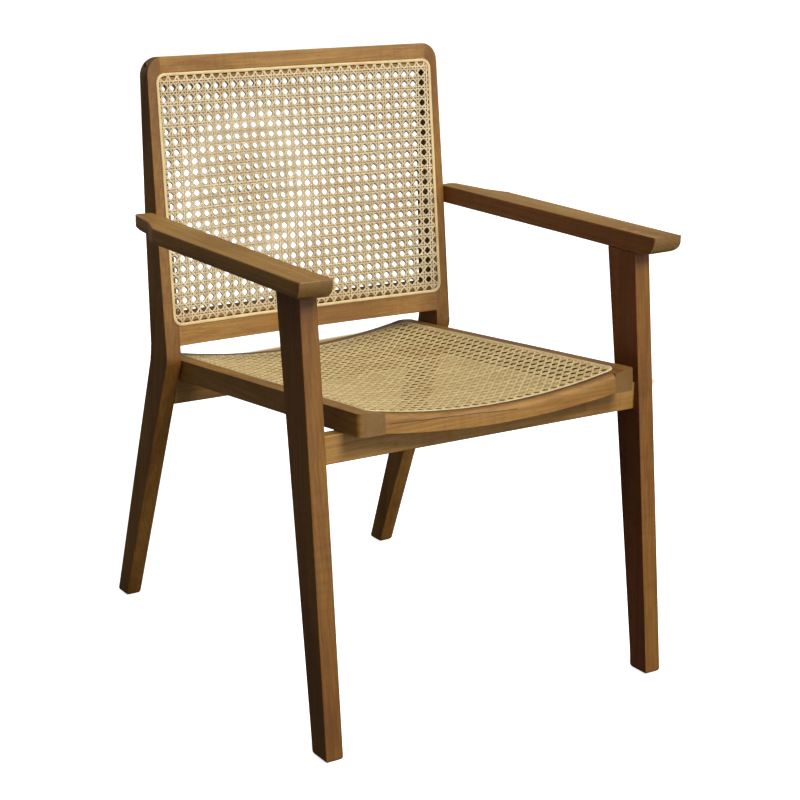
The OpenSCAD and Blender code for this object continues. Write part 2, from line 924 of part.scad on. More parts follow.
left_front_leg();
right_front_leg();
left_back_leg();
right_back_leg();
left_arm();
right_arm();
back_top_rail();
back_bottom_rail();
back_front_cane();
back_rear_cane();
back_front_spline();
back_rear_spline();
front_stretcher();
rear_stretcher();
seat_left_rail();
seat_right_rail();
seat_front_rail();
seat_rear_rail();
seat_cane();
seat_spline();
stretcher_dowels();
back_rail_dowels();
seat_frame_dowels();
arm_dowels();
arm_screws();
arm_plugs();
seat_screws();
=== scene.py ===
import math

import bmesh
import bpy
from mathutils import Matrix, Vector


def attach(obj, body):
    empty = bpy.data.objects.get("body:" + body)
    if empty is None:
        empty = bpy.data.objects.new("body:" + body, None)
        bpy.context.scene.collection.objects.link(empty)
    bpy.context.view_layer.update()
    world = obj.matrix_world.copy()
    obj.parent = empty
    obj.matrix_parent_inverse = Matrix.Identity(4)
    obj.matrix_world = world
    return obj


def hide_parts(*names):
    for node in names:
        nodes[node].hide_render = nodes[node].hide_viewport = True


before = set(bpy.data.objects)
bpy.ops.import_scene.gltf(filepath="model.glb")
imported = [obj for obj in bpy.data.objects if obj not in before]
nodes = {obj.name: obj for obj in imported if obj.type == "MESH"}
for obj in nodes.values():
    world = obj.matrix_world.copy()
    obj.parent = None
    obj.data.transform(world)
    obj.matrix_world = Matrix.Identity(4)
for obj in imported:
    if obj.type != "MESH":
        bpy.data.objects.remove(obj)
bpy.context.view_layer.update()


# Front legs: two sawn beech legs, wide under the arm and narrow at the floor, with
# the grain running down them. The stain is honey brown over a fine straight grain,
# and it is brushed on, so it lies darker in the pores and in the growth lines.

honey = (0.292, 0.145, 0.030)
deep = (0.125, 0.049, 0.007)
pale = (0.385, 0.215, 0.055)
end_grey = (0.122, 0.078, 0.028)
pore_brown = (0.050, 0.020, 0.005)
crack_brown = (0.035, 0.014, 0.005)


def blank_material(name):
    material = bpy.data.materials.new(name)
    material.use_nodes = True
    material.node_tree.nodes.clear()
    return material, material.node_tree


def add_node(tree, kind, inputs=None, **settings):
    made = tree.nodes.new(kind)
    for name, value in settings.items():
        setattr(made, name, value)
    for key, value in (inputs or {}).items():
        if isinstance(value, bpy.types.NodeSocket):
            tree.links.new(value, made.inputs[key])
        else:
            made.inputs[key].default_value = value
    return made


def math_node(tree, operation, first, second=0.0):
    return add_node(tree, "ShaderNodeMath", {0: first, 1: second}, operation=operation).outputs[0]


def vector_node(tree, operation, first, second=(0, 0, 0), result="Vector"):
    return add_node(tree, "ShaderNodeVectorMath", {0: first, 1: second}, operation=operation).outputs[result]


def object_place(tree):
    return add_node(tree, "ShaderNodeTexCoord").outputs["Object"]


def mapped(tree, place, **moves):
    """Coordinates turned, moved or stretched by Rotation, Location and Scale."""
    return add_node(tree, "ShaderNodeMapping", {"Vector": place, **moves}).outputs[0]


def noise_node(tree, place, stretch, detail, rough=0.5):
    return add_node(tree, "ShaderNodeTexNoise", {"Vector": mapped(tree, place, Scale=stretch), "Scale": 1.0,
                                                 "Detail": detail, "Roughness": rough}).outputs


def range_node(tree, value, given, wanted, clamp=True):
    """Carries a value over from one pair of ends to another."""
    return add_node(tree, "ShaderNodeMapRange", {"Value": value, "From Min": given[0], "From Max": given[1],
                                                 "To Min": wanted[0], "To Max": wanted[1]},
                    clamp=clamp).outputs[0]


def ramp_node(tree, fac, stops):
    ramp = add_node(tree, "ShaderNodeValToRGB", {"Fac": fac})
    while len(ramp.color_ramp.elements) < len(stops):
        ramp.color_ramp.elements.new(0.5)
    for element, (place, grey) in zip(ramp.color_ramp.elements, stops):
        element.position = place
        element.color = (grey, grey, grey, 1)
    return ramp.outputs["Color"]


def mix_colours(tree, fac, first, second, blend="MIX"):
    mix = add_node(tree, "ShaderNodeMix", data_type="RGBA", blend_type=blend)
    for socket, value in ((mix.inputs[0], fac), (mix.inputs[6], first), (mix.inputs[7], second)):
        if isinstance(value, bpy.types.NodeSocket):
            tree.links.new(value, socket)
        elif isinstance(value, tuple):
            socket.default_value = (*value, 1)
        else:
            socket.default_value = value
    return mix.outputs[2]


def close_material(tree, colour, fibres, rough, height, bump, **gloss):
    """The last nodes. fibres runs the roughness between two ends, and bump is its strength and depth."""
    rough = range_node(tree, fibres, (0, 1), rough)
    bump = add_node(tree, "ShaderNodeBump", {"Height": height, "Strength": bump[0], "Distance": bump[1]})
    gloss = {name.replace("_", " "): value for name, value in gloss.items()}
    shader = add_node(tree, "ShaderNodeBsdfPrincipled", {"Base Color": colour, "Roughness": rough,
                                                         "Normal": bump.outputs[0], **gloss})
    add_node(tree, "ShaderNodeOutputMaterial", {"Surface": shader.outputs[0]})


def crack_line(tree, place, colour, start, end, half_width):
    """A fine dark split in the surface, from start to end, each given as X and Z."""
    wobble_height = 0.004
    at = add_node(tree, "ShaderNodeSeparateXYZ", {0: place}).outputs
    run = range_node(tree, at["X"], (start[0], end[0]), (start[1], end[1]), clamp=False)
    wobble = noise_node(tree, place, (28, 28, 2), 3.0)["Fac"]
    wobble = math_node(tree, "MULTIPLY", math_node(tree, "SUBTRACT", wobble, 0.5), wobble_height)
    off = math_node(tree, "SUBTRACT", math_node(tree, "SUBTRACT", at["Z"], run), wobble)
    near = range_node(tree, math_node(tree, "ABSOLUTE", off), (half_width * 0.4, half_width), (0.85, 0.0))
    within = math_node(tree, "MULTIPLY", math_node(tree, "GREATER_THAN", at["X"], start[0]),
                       math_node(tree, "LESS_THAN", at["X"], end[0]))
    return mix_colours(tree, math_node(tree, "MULTIPLY", near, within), colour, crack_brown)


def stained_wood(name, grain, heart, turn, tone, ring_gap=0.0045, crack=None, painted_side_shade=None, side_from=0.4):
    """Stained beech. grain is the axis the fibres follow, and turn tilts them in radians.
    heart is how far from the piece the middle of the log lay, which bends the growth lines,
    and ring_gap is their distance. A darker tone is also a redder one. A side tint, if given,
    is painted shade: it darkens and reddens the faces that look towards the left by more than
    side_from, as those faces are turned from the lamps."""
    material, tree = blank_material(name)
    place = object_place(tree)
    lay = {"x": (0, -math.pi / 2, 0), "y": (math.pi / 2, 0, 0), "z": (0, 0, 0)}[grain]
    along_z = mapped(tree, mapped(tree, place, Rotation=turn), Rotation=lay, Location=(*heart, 0))

    # growth lines wander slowly along the piece
    ring_wander = 0.022
    wander = noise_node(tree, along_z, (14, 14, 2.6), 3.0)["Color"]
    shift = vector_node(tree, "MULTIPLY", wander, (ring_wander, ring_wander, ring_wander))
    bent = vector_node(tree, "ADD", along_z, shift)
    cross = vector_node(tree, "MULTIPLY", bent, (1, 1, 0))
    from_heart = vector_node(tree, "LENGTH", cross, result="Value")
    ring_phase = math_node(tree, "FRACT", math_node(tree, "DIVIDE", from_heart, ring_gap))
    rings = ramp_node(tree, ring_phase, [(0.0, 0.1), (0.5, 0.25), (0.86, 1.0), (1.0, 0.1)])

    # blotches of stain, ripples across the grain, streaks, fibres and pores along it
    ring_dark, pore_dark, pore_depth = 0.26, 0.40, 0.8
    blotches = noise_node(tree, along_z, (16, 16, 4.5), 3.0, 0.55)["Fac"]
    patches = noise_node(tree, along_z, (9, 9, 6), 1.0)["Fac"]
    ripples = noise_node(tree, along_z, (26, 26, 150), 2.0)["Fac"]
    streaks = noise_node(tree, along_z, (190, 190, 4), 2.0, 0.55)["Fac"]
    fibres = noise_node(tree, along_z, (900, 900, 18), 3.0, 0.6)["Fac"]
    pores = noise_node(tree, along_z, (1500, 1500, 90), 1.0)["Fac"]
    pores = ramp_node(tree, pores, [(0.30, 1.0), (0.38, 0.0)])
    red_green_blue = (1.0, 1.4, 2.6)
    body, dark, light, grey = [tuple(c * tone ** power for c, power in zip(colour, red_green_blue))
                               for colour in (honey, deep, pale, end_grey)]
    colour = mix_colours(tree, ramp_node(tree, blotches, [(0.40, 0.0), (0.66, 0.80)]), body, light)
    colour = mix_colours(tree, ramp_node(tree, blotches, [(0.28, 0.55), (0.48, 0.0)]), colour, dark)
    rippled = math_node(tree, "MULTIPLY", ramp_node(tree, ripples, [(0.46, 0.0), (0.64, 0.20)]),
                        ramp_node(tree, patches, [(0.42, 0.0), (0.58, 1.0)]))
    colour = mix_colours(tree, rippled, colour, dark)
    colour = mix_colours(tree, math_node(tree, "MULTIPLY", rings, ring_dark), colour, dark)
    colour = mix_colours(tree, ramp_node(tree, streaks, [(0.38, 0.34), (0.56, 0.0)]), colour, dark)
    colour = mix_colours(tree, ramp_node(tree, fibres, [(0.35, 0.26), (0.60, 0.0)]), colour, dark)
    colour = mix_colours(tree, math_node(tree, "MULTIPLY", pores, pore_dark), colour, pore_brown)

    # end grain takes more stain and looks greyer, with every growth line showing
    end_ring_dark, end_cover = 0.62, 0.72
    normal = add_node(tree, "ShaderNodeNewGeometry").outputs["True Normal"]
    facing = add_node(tree, "ShaderNodeSeparateXYZ", {0: normal}).outputs
    end_part = ramp_node(tree, math_node(tree, "ABSOLUTE", facing[grain.upper()]), [(0.72, 0.0), (0.93, 1.0)])
    end_rings = mix_colours(tree, math_node(tree, "MULTIPLY", rings, end_ring_dark), grey, dark)
    colour = mix_colours(tree, math_node(tree, "MULTIPLY", end_part, end_cover), colour, end_rings)
    # painted shade: faces that look to the left are turned from the lamps, so their colour is multiplied by a
    # darker, redder tint
    if painted_side_shade:
        leftward = math_node(tree, "MULTIPLY", facing["X"], -1.0)
        shaded_side = ramp_node(tree, leftward, [(side_from, 0.0), (side_from + 0.1, 1.0)])
        colour = mix_colours(tree, shaded_side, colour, painted_side_shade, "MULTIPLY")
    if crack:
        colour = crack_line(tree, place, colour, *crack)
    height = math_node(tree, "SUBTRACT", fibres, math_node(tree, "MULTIPLY", pores, pore_depth))
    close_material(tree, colour, fibres, rough=(0.60, 0.42), height=height, bump=(0.3, 0.0003),
                   Specular_IOR_Level=0.35)
    return material


def put_in_scene(name, data):
    made = bpy.data.objects.new(name, data)
    bpy.context.scene.collection.objects.link(made)
    return made


def plain_mesh(live, name):
    """The mesh that an object's modifiers make. The object itself is removed."""
    graph = bpy.context.evaluated_depsgraph_get()
    mesh = bpy.data.meshes.new_from_object(live.evaluated_get(graph), preserve_all_data_layers=True,
                                           depsgraph=graph)
    bpy.data.objects.remove(live)
    mesh.name = name
    return mesh


def round_foot(shape, radius, cuts=5):
    """Draws the lowest part of a leg in, so that its foot has a rounded rim."""
    for cut in range(1, cuts + 1):
        height = radius * (1 - math.cos(math.radians(90 * cut / cuts)))
        bmesh.ops.bisect_plane(shape, geom=shape.verts[:] + shape.edges[:] + shape.faces[:],
                               plane_co=(0, 0, height), plane_no=(0, 0, 1))
    low = [vert for vert in shape.verts if vert.co.z < radius]
    middle = [(min(v.co[axis] for v in low) + max(v.co[axis] for v in low)) / 2 for axis in (0, 1)]
    half = [max(v.co[axis] for v in low) - middle[axis] for axis in (0, 1)]
    for vert in low:
        inset = radius - math.sqrt(radius ** 2 - (radius - vert.co.z) ** 2)
        for axis in (0, 1):
            vert.co[axis] = middle[axis] + (vert.co[axis] - middle[axis]) * (1 - inset / half[axis])
    # the cuts leave points and faces in a chance order, so they are put in one that never changes
    slant = Vector((0.37, 0.59, 0.83))
    shape.verts.sort(key=lambda vert: vert.co.dot(slant))
    shape.edges.sort(key=lambda edge: (edge.verts[0].co + edge.verts[1].co).dot(slant))
    shape.faces.sort(key=lambda face: face.calc_center_median().dot(slant))


def ease(node, material, radius=0.0012, foot=0.0, where=None):
    """Replaces a CAD piece by a copy whose long outer edges are sanded round, and its foot
    if it has one. where says by an edge's middle whether it is sanded."""
    same_point, same_face, corner = 2e-6, math.radians(0.2), math.radians(40)
    shortest, smooth_below = 0.004, math.radians(35)
    shape = bmesh.new()
    shape.from_mesh(nodes[node].data)
    bmesh.ops.remove_doubles(shape, verts=shape.verts, dist=same_point)
    bmesh.ops.dissolve_limit(shape, angle_limit=same_face, verts=shape.verts, edges=shape.edges)
    bmesh.ops.recalc_face_normals(shape, faces=shape.faces)
    sharp = [edge for edge in shape.edges if len(edge.link_faces) == 2 and edge.is_convex
             and edge.calc_face_angle() > corner and edge.calc_length() > shortest
             and (where is None or where((edge.verts[0].co + edge.verts[1].co) / 2))]
    bmesh.ops.bevel(shape, geom=sharp, offset=radius, offset_type="OFFSET", segments=3, profile=0.5,
                    affect="EDGES", clamp_overlap=False)
    if foot:
        round_foot(shape, foot)
    mesh = bpy.data.meshes.new(node + "_rough")
    shape.to_mesh(mesh)
    shape.free()
    for polygon in mesh.polygons:
        polygon.use_smooth = True
    mesh.set_sharp_from_angle(angle=smooth_below)
    mesh.materials.append(material)
    rough_piece = put_in_scene(node + "_rough", mesh)
    rough_piece.modifiers.new("flat faces stay flat", "WEIGHTED_NORMAL").keep_sharp = True
    piece = put_in_scene(node + "_eased", plain_mesh(rough_piece, node + "_eased"))
    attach(piece, "root")
    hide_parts(node)


front_grain = (math.radians(6.1) / 2, 0, 0)
leg_edge, foot_round = 0.0018, 0.006
leg_wood = stained_wood("left front leg wood", "z", heart=(0.035, 0.09), turn=front_grain, tone=0.58)
ease("left_front_leg", leg_wood, leg_edge, foot_round)
# the right leg's inner side gets painted shade
leg_wood = stained_wood("right front leg wood", "z", heart=(-0.04, 0.11), turn=front_grain, tone=0.56,
                        painted_side_shade=(0.95, 0.62, 0.55))
ease("right_front_leg", leg_wood, leg_edge, foot_round)


# Back legs: each is cut from one wide board along the bend, so the grain follows the
# upper post and crosses the lower leg at a slant. A groove for the cane is routed in
# the post's front and rear faces.

post_lean = math.radians(6.5)
post_edge = 0.001
groove_side = 0.2305
corner_foot = 0.770


def outside_groove(at):
    """The post's outer edges, up to where its round top corner starts."""
    return abs(at.x) > groove_side and at.z < corner_foot


for side, heart in (("left", (0.05, -0.08)), ("right", (-0.03, -0.06))):
    post_wood = stained_wood(side + " back leg wood", "z", heart, turn=(-post_lean, 0, 0), tone=0.75)
    ease(side + "_back_leg", post_wood, post_edge, foot_round, outside_groove)


# Arms: a flat board on each side, screwed down on the front leg and dowelled to the
# side of the back leg. Their top is worn smooth, and the grain runs from front to back.

arm_edge = 0.0015
arm_splay = 0.03
arm_wood = stained_wood("left arm wood", "y", heart=(0.02, 0.06), turn=(0, 0, arm_splay), tone=1.0)
ease("left_arm", arm_wood, arm_edge)
# the right arm's inner side gets painted shade
arm_wood = stained_wood("right arm wood", "y", heart=(-0.03, 0.05), turn=(0, 0, -arm_splay), tone=1.04,
                        painted_side_shade=(0.62, 0.38, 0.28))
ease("right_arm", arm_wood, arm_edge)


# Rails of the back: sawn with a slight curve from thicker boards, dowelled between the
# posts, with their grain across the chair.


def nearer_than(reach):
    """The edges nearer to the chair's middle than a board's ends, which butt against the legs."""
    return lambda at: abs(at.x) < reach


back_rail_edge = 0.001
between_posts = nearer_than(0.205)
rail_wood = stained_wood("top rail wood", "x", heart=(0.03, 0.07), turn=(0, 0.01, 0), tone=0.93)
ease("back_top_rail", rail_wood, back_rail_edge, where=between_posts)
rail_wood = stained_wood("bottom rail wood", "x", heart=(0.05, 0.05), turn=(0, -0.01, 0), tone=0.90)
ease("back_bottom_rail", rail_wood, back_rail_edge, where=between_posts)


# Stretchers: two plain boards between the legs, held by two dowels at each end. The
# seat frame lies on them and is screwed down from below.

front_reach, rear_reach = 0.23, 0.2
board_wood = stained_wood("front stretcher wood", "x", heart=(0.02, -0.09), turn=(0, 0.01, 0), tone=1.12)
ease("front_stretcher", board_wood, where=nearer_than(front_reach))
board_wood = stained_wood("rear stretcher wood", "x", heart=(-0.04, 0.07), turn=(0, 0, 0), tone=0.95)
ease("rear_stretcher", board_wood, where=nearer_than(rear_reach))


# Seat frame: two side rails that show their end grain in front, and a curved front and
# rear rail dowelled between them. The tops are hollowed to the dish of the seat.

seat_edge = 0.0035
seat_rings = 0.0022
side_rail_from = 0.2
seat_wood = stained_wood("left seat rail wood", "y", heart=(0.022, 0.020), turn=(0, 0, 0), tone=0.95,
                         ring_gap=seat_rings)
ease("seat_left_rail", seat_wood, seat_edge, where=lambda at: at.x < -side_rail_from)
# the right rail's inner side and its top, which tilts a little inwards, get painted shade
seat_wood = stained_wood("right seat rail wood", "y", heart=(-0.025, 0.022), turn=(0, 0, 0), tone=0.84,
                         ring_gap=seat_rings, painted_side_shade=(0.78, 0.60, 0.50), side_from=0.04)
ease("seat_right_rail", seat_wood, seat_edge, where=lambda at: at.x > side_rail_from)
# the front rail has a fine drying crack, and only its front edges are sanded
front_crack = (-0.1685, 0.4138), (0.0190, 0.4046), 0.0008
front_rail_half, front_edges_before = 0.17, -0.31
seat_wood = stained_wood("front seat rail wood", "x", heart=(0.06, 0.08), turn=(0, 0.02, 0), tone=0.92,
                         crack=front_crack)
ease("seat_front_rail", seat_wood,
     where=lambda at: abs(at.x) < front_rail_half and at.y < front_edges_before)


def finish_node(node, material):
    mesh = nodes[node].data
    mesh.materials.clear()
    mesh.materials.append(material)


seat_wood = stained_wood("rear seat rail wood", "x", heart=(0.05, 0.06), turn=(0, 0, 0), tone=1.0)
finish_node("seat_rear_rail", seat_wood)


# Fixings: turned beech dowels and plugs, and steel wood screws. The plugs on the arms
# are cut across the grain and oiled, so they are a little paler than the arm.

dowel_rings = 0.002
finish_node("arm_plugs", stained_wood("plug wood", "y", heart=(0.01, 0.01), turn=(0, 0, 0.4), tone=1.3,
                                      ring_gap=dowel_rings))
# the chair is stained after gluing, so a dowel that reaches the post's round corner is dark too
for fixing, tone in (("back_rail_dowels", 0.5), ("stretcher_dowels", 1.3), ("seat_frame_dowels", 1.3),
                     ("arm_dowels", 1.3)):
    finish_node(fixing, stained_wood(fixing.replace("_", " ") + " wood", "x", heart=(0.01, 0.02),
                                     turn=(0, 0, 0), tone=tone, ring_gap=dowel_rings))


def screw_steel():
    material, tree = blank_material("zinc plated screw steel")
    marks = noise_node(tree, object_place(tree), (60, 60, 900), 2.0)["Fac"]
    colour = mix_colours(tree, marks, (0.42, 0.42, 0.44), (0.62, 0.60, 0.55))
    close_material(tree, colour, marks, rough=(0.28, 0.5), height=marks, bump=(0.2, 0.0001), Metallic=1.0)
    return material


steel = screw_steel()
finish_node("arm_screws", steel)
finish_node("seat_screws", steel)


# Cane: split rattan skin woven six ways, in pairs up and across and single strands on
# both diagonals, which leaves eight-sided holes. The edges are pressed into the groove.

mm = 0.001
pair_half = 1.7 * mm
strand_t = 0.5 * mm
low_pass, mid_pass, high_pass = 0.04 * mm, 0.37 * mm, 0.70 * mm
sheet_rest = 0.15 * mm
groove_wall = 5.25 * mm
groove_depth = 4.7 * mm
groove_r = 14 * mm
back_cane = (0.66, 0.54, 0.33), (0.47, 0.36, 0.20)
seat_cane = (0.71, 0.56, 0.28), (0.52, 0.37, 0.15)
pith = (0.70, 0.64, 0.52)
weather_stain = (0.42, 0.23, 0.08)


def strand_material(name, light, shade, outward=None):
    """Split cane: glossy skin with fine fibres along the strand, and a tone of its own on each.
    The flat side, away from outward, is the dull pale pith."""
    material, tree = blank_material(name)
    along, across, tone = [add_node(tree, "ShaderNodeAttribute", attribute_name=kept).outputs["Fac"]
                           for kept in ("along", "across", "tone")]
    on_strand = add_node(tree, "ShaderNodeCombineXYZ", {"X": along, "Y": across, "Z": tone}).outputs[0]
    fibres = noise_node(tree, on_strand, (45, 5, 300), 3.0)["Fac"]
    stain = noise_node(tree, object_place(tree), (22, 22, 22), 3.0)["Fac"]
    fibre_shade = tuple(c * 0.55 for c in shade)
    colour = mix_colours(tree, tone, light, shade)
    colour = mix_colours(tree, ramp_node(tree, fibres, [(0.35, 0.45), (0.6, 0.0)]), colour, fibre_shade)
    colour = mix_colours(tree, ramp_node(tree, stain, [(0.5, 0.0), (0.72, 0.3)]), colour, weather_stain)
    if outward:
        normal = add_node(tree, "ShaderNodeNewGeometry").outputs["True Normal"]
        facing = vector_node(tree, "DOT_PRODUCT", normal, outward, "Value")
        inner_face = math_node(tree, "LESS_THAN", facing, -0.5)
        colour = mix_colours(tree, inner_face, colour, pith)
    close_material(tree, colour, fibres, rough=(0.55, 0.38), height=fibres, bump=(0.25, 0.0001),
                   Specular_IOR_Level=0.4)
    return material


def strand_tree():
    """Turns flat centre lines into strands and bends them to the hollow of the wood."""
    tree = bpy.data.node_groups.new("strands on a hollow", "GeometryNodeTree")
    face = tree.interface
    face.new_socket("Geometry", in_out="OUTPUT", socket_type="NodeSocketGeometry")
    face.new_socket("Lines", in_out="INPUT", socket_type="NodeSocketGeometry")
    for name, kind in (("Profile", "NodeSocketObject"), ("Hollow Radius", "NodeSocketFloat"),
                       ("Hollow Depth", "NodeSocketFloat"), ("Seed", "NodeSocketInt"),
                       ("Finish", "NodeSocketMaterial")):
        face.new_socket(name, in_out="INPUT", socket_type=kind)
    given = tree.nodes.new("NodeGroupInput").outputs

    def keep(geometry, name, value, domain):
        return add_node(tree, "GeometryNodeStoreNamedAttribute",
                        {"Geometry": geometry, "Name": name, "Value": value},
                        data_type="FLOAT", domain=domain).outputs[0]

    # each strand keeps its tone and its length so far, and its outline the way across
    curve = add_node(tree, "GeometryNodeMeshToCurve", {"Mesh": given["Lines"]}).outputs[0]
    curve = add_node(tree, "GeometryNodeSetCurveNormal", {"Curve": curve}, mode="Z_UP").outputs[0]
    number = add_node(tree, "GeometryNodeInputIndex").outputs[0]
    tone = add_node(tree, "FunctionNodeRandomValue", {"ID": number, "Seed": given["Seed"]}, data_type="FLOAT")
    curve = keep(curve, "tone", tone.outputs[1], "CURVE")
    run = add_node(tree, "GeometryNodeSplineParameter").outputs
    curve = keep(curve, "along", run["Length"], "POINT")
    section = add_node(tree, "GeometryNodeObjectInfo", {"Object": given["Profile"]}).outputs["Geometry"]
    section = keep(section, "across", run["Factor"], "POINT")
    mesh = add_node(tree, "GeometryNodeCurveToMesh", {"Curve": curve, "Profile Curve": section,
                                                      "Fill Caps": True}).outputs[0]

    # the hollow is part of a cylinder, deepest in the middle. A negative radius bows outwards
    place = add_node(tree, "GeometryNodeInputPosition").outputs[0]
    across = add_node(tree, "ShaderNodeSeparateXYZ", {0: place}).outputs["X"]
    radius = given["Hollow Radius"]
    level = math_node(tree, "SUBTRACT", math_node(tree, "MULTIPLY", radius, radius),
                      math_node(tree, "MULTIPLY", across, across))
    rise = math_node(tree, "SUBTRACT", math_node(tree, "ABSOLUTE", radius), math_node(tree, "SQRT", level))
    rise = math_node(tree, "MULTIPLY", math_node(tree, "SIGN", radius), rise)
    sink = math_node(tree, "SUBTRACT", given["Hollow Depth"], rise)
    down = add_node(tree, "ShaderNodeCombineXYZ", {"Z": math_node(tree, "MULTIPLY", sink, -1.0)}).outputs[0]
    mesh = add_node(tree, "GeometryNodeSetPosition", {"Geometry": mesh, "Offset": down}).outputs[0]
    mesh = add_node(tree, "GeometryNodeRealizeInstances", {"Geometry": mesh}).outputs[0]
    mesh = add_node(tree, "GeometryNodeSetMaterial", {"Geometry": mesh, "Material": given["Finish"]})
    add_node(tree, "NodeGroupOutput", {0: mesh.outputs[0]})
    return tree


strands = strand_tree()


def profile_curve(name, points):
    """A closed outline: the first number runs across the strand and the second up from the wood."""
    curve = bpy.data.curves.new(name, "CURVE")
    curve.dimensions = "2D"
    curve.fill_mode = "NONE"
    spline = curve.splines.new("POLY")
    spline.points.add(len(points) - 1)
    for point, (across, up) in zip(spline.points, points):
        # the sweep turns the outline upside down
        point.co = (-across, -up, 0, 1)
    spline.use_cyclic_u = True
    return put_in_scene(name, curve)


def lines_mesh(name, lines, closed):
    mesh = bpy.data.meshes.new(name)
    points = [point for line in lines for point in line]
    edges, start = [], 0
    for line in lines:
        edges += [(start + i, start + i + 1) for i in range(len(line) - 1)]
        if closed:
            edges.append((start + len(line) - 1, start))
        start += len(line)
    mesh.from_pydata(points, edges, [])
    return mesh


def follow(name, lines, profile, hollow, place, material, seed, closed=False):
    """Runs the tree over the lines and gives a plain mesh, set in its place on the chair."""
    lay = put_in_scene(name + " lines", lines_mesh(name + " lines", lines, closed))
    modifier = lay.modifiers.new("strands", "NODES")
    modifier.node_group = strands
    sockets = {item.name: item.identifier for item in strands.interface.items_tree if item.in_out == "INPUT"}
    for key, value in (("Profile", profile), ("Hollow Radius", hollow[0]), ("Hollow Depth", hollow[1]),
                       ("Seed", seed), ("Finish", material)):
        modifier[sockets[key]] = value
    mesh = plain_mesh(lay, name)
    bpy.data.objects.remove(profile)
    mesh.transform(place)
    return put_in_scene(name, mesh)


def clip_line(start, direction, half_w, half_h, corner):
    """Where a line runs inside the panel's outline, whose corners are cut at a slant."""
    far_off, shortest_strand = 9.0, 4 * mm
    low, high = -far_off, far_off
    for a, b, limit in ((1, 0, half_w), (0, 1, half_h), (1, 1, corner), (1, -1, corner)):
        speed = a * direction[0] + b * direction[1]
        at = a * start[0] + b * start[1]
        if abs(speed) < 1e-9:
            if abs(at) > limit:
                return None
            continue
        first, last = sorted(((-limit - at) / speed, (limit - at) / speed))
        low, high = max(low, first), min(high, last)
    return (low, high) if high - low > shortest_strand else None


def weave_lines(field, hole, pitch, skew, warp):
    """Centre lines of the straight strands and of the diagonals, as points (across, up, height).
    hole is the place of one hole, pitch the steps across and up, and skew leans the columns."""
    half_w, half_h = field
    inner_w, inner_h = half_w - groove_wall, half_h - groove_wall
    corner = inner_w + inner_h - (2 - math.sqrt(2)) * (groove_r - groove_wall)
    turn_down, rim_height, shoulder = 0.45 * mm, 0.2 * mm, -1.2 * mm
    free_end, flat_from = 0.6 * mm, 2.2 * pair_half
    pitch_u, pitch_v = pitch

    def finished(start, direction, marks):
        """One strand with its passes over and under, and both its ends turned down into the groove."""
        span = clip_line(start, direction, inner_w, inner_h, corner)
        if not span:
            return None
        low, high = span
        step = turn_down / max(abs(direction[0]), abs(direction[1]))
        inside = [(t, h) for t, h in marks if low + free_end < t < high - free_end]
        path = [(low - step, -groove_depth), (low - step * 0.8, shoulder), (low, rim_height), *inside,
                (high, rim_height), (high + step * 0.8, shoulder), (high + step, -groove_depth)]
        return [warp(start[0] + direction[0] * t, start[1] + direction[1] * t, height + sheet_rest)
                for t, height in path]

    def crossing(at, first, second):
        return [(at - flat_from, mid_pass), (at - pair_half, first), (at + pair_half, second),
                (at + flat_from, mid_pass)]

    straight, slanted = [], []
    columns = range(-int(half_w / pitch_u) - 3, int(half_w / pitch_u) + 4)
    rows = range(-int(half_h / pitch_v) - 3, int(half_h / pitch_v) + 4)
    for side in (-1, 1):
        ahead, behind = (low_pass, high_pass) if side > 0 else (high_pass, low_pass)
        for i in columns:
            at = hole[0] + (i + 0.5) * pitch_u + side * pair_half
            marks = [mark for j in rows for mark in crossing(hole[1] + (j + 0.5) * pitch_v, ahead, behind)]
            straight.append(finished((at, 0), (skew, 1), marks))
        for j in rows:
            at = hole[1] + (j + 0.5) * pitch_v + side * pair_half
            marks = [mark for i in columns
                     for mark in crossing(hole[0] + (i + 0.5) * pitch_u + skew * at, behind, ahead)]
            straight.append(finished((0, at), (1, 0), marks))
    count = len(columns) + len(rows)
    slope = pitch_v / pitch_u
    for lean in (1, -1):
        over, under = (high_pass, low_pass) if lean > 0 else (low_pass, high_pass)
        marks = [(j * pitch_u / 4, (over, mid_pass, under, mid_pass)[j % 4])
                 for j in range(-2 * count, 2 * count + 1)]
        for i in range(-count, count + 1):
            # passes over the middle of a pair that runs up, half a step from a hole
            start = (hole[0] + (i + 0.5) * pitch_u + skew * hole[1], hole[1])
            slanted.append(finished(start, (lean + skew * slope, slope), marks))
    return [line for line in straight if line], [line for line in slanted if line]


def strand_outline(width):
    """Flat below and crowned above, as split cane is."""
    crown = 0.27
    return [(-width / 2, 0), (width / 2, 0), (width * crown, strand_t), (-width * crown, strand_t)]


def axes(origin, across, up, out):
    place = Matrix.Identity(4)
    for column, vector in enumerate((across, up, out, origin)):
        for row in range(3):
            place[row][column] = vector[row]
    return place


def as_woven(*point):
    return point


def weave(name, replaced, tones, field, hollow, place, widths, hole, pitch, skew, seed, warp=as_woven):
    cane_skin = strand_material(name, *tones, tuple(place.col[2][:3]))
    straight, slanted = weave_lines(field, hole, pitch, skew, warp)
    for part, lines, width in (("straights", straight, widths[0]), ("diagonals", slanted, widths[1])):
        profile = profile_curve(part + " section", strand_outline(width))
        piece = follow(f"{name}_{part}", lines, profile, hollow, place, cane_skin, seed)
        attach(piece, "root")
        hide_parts(replaced)
        seed += 1


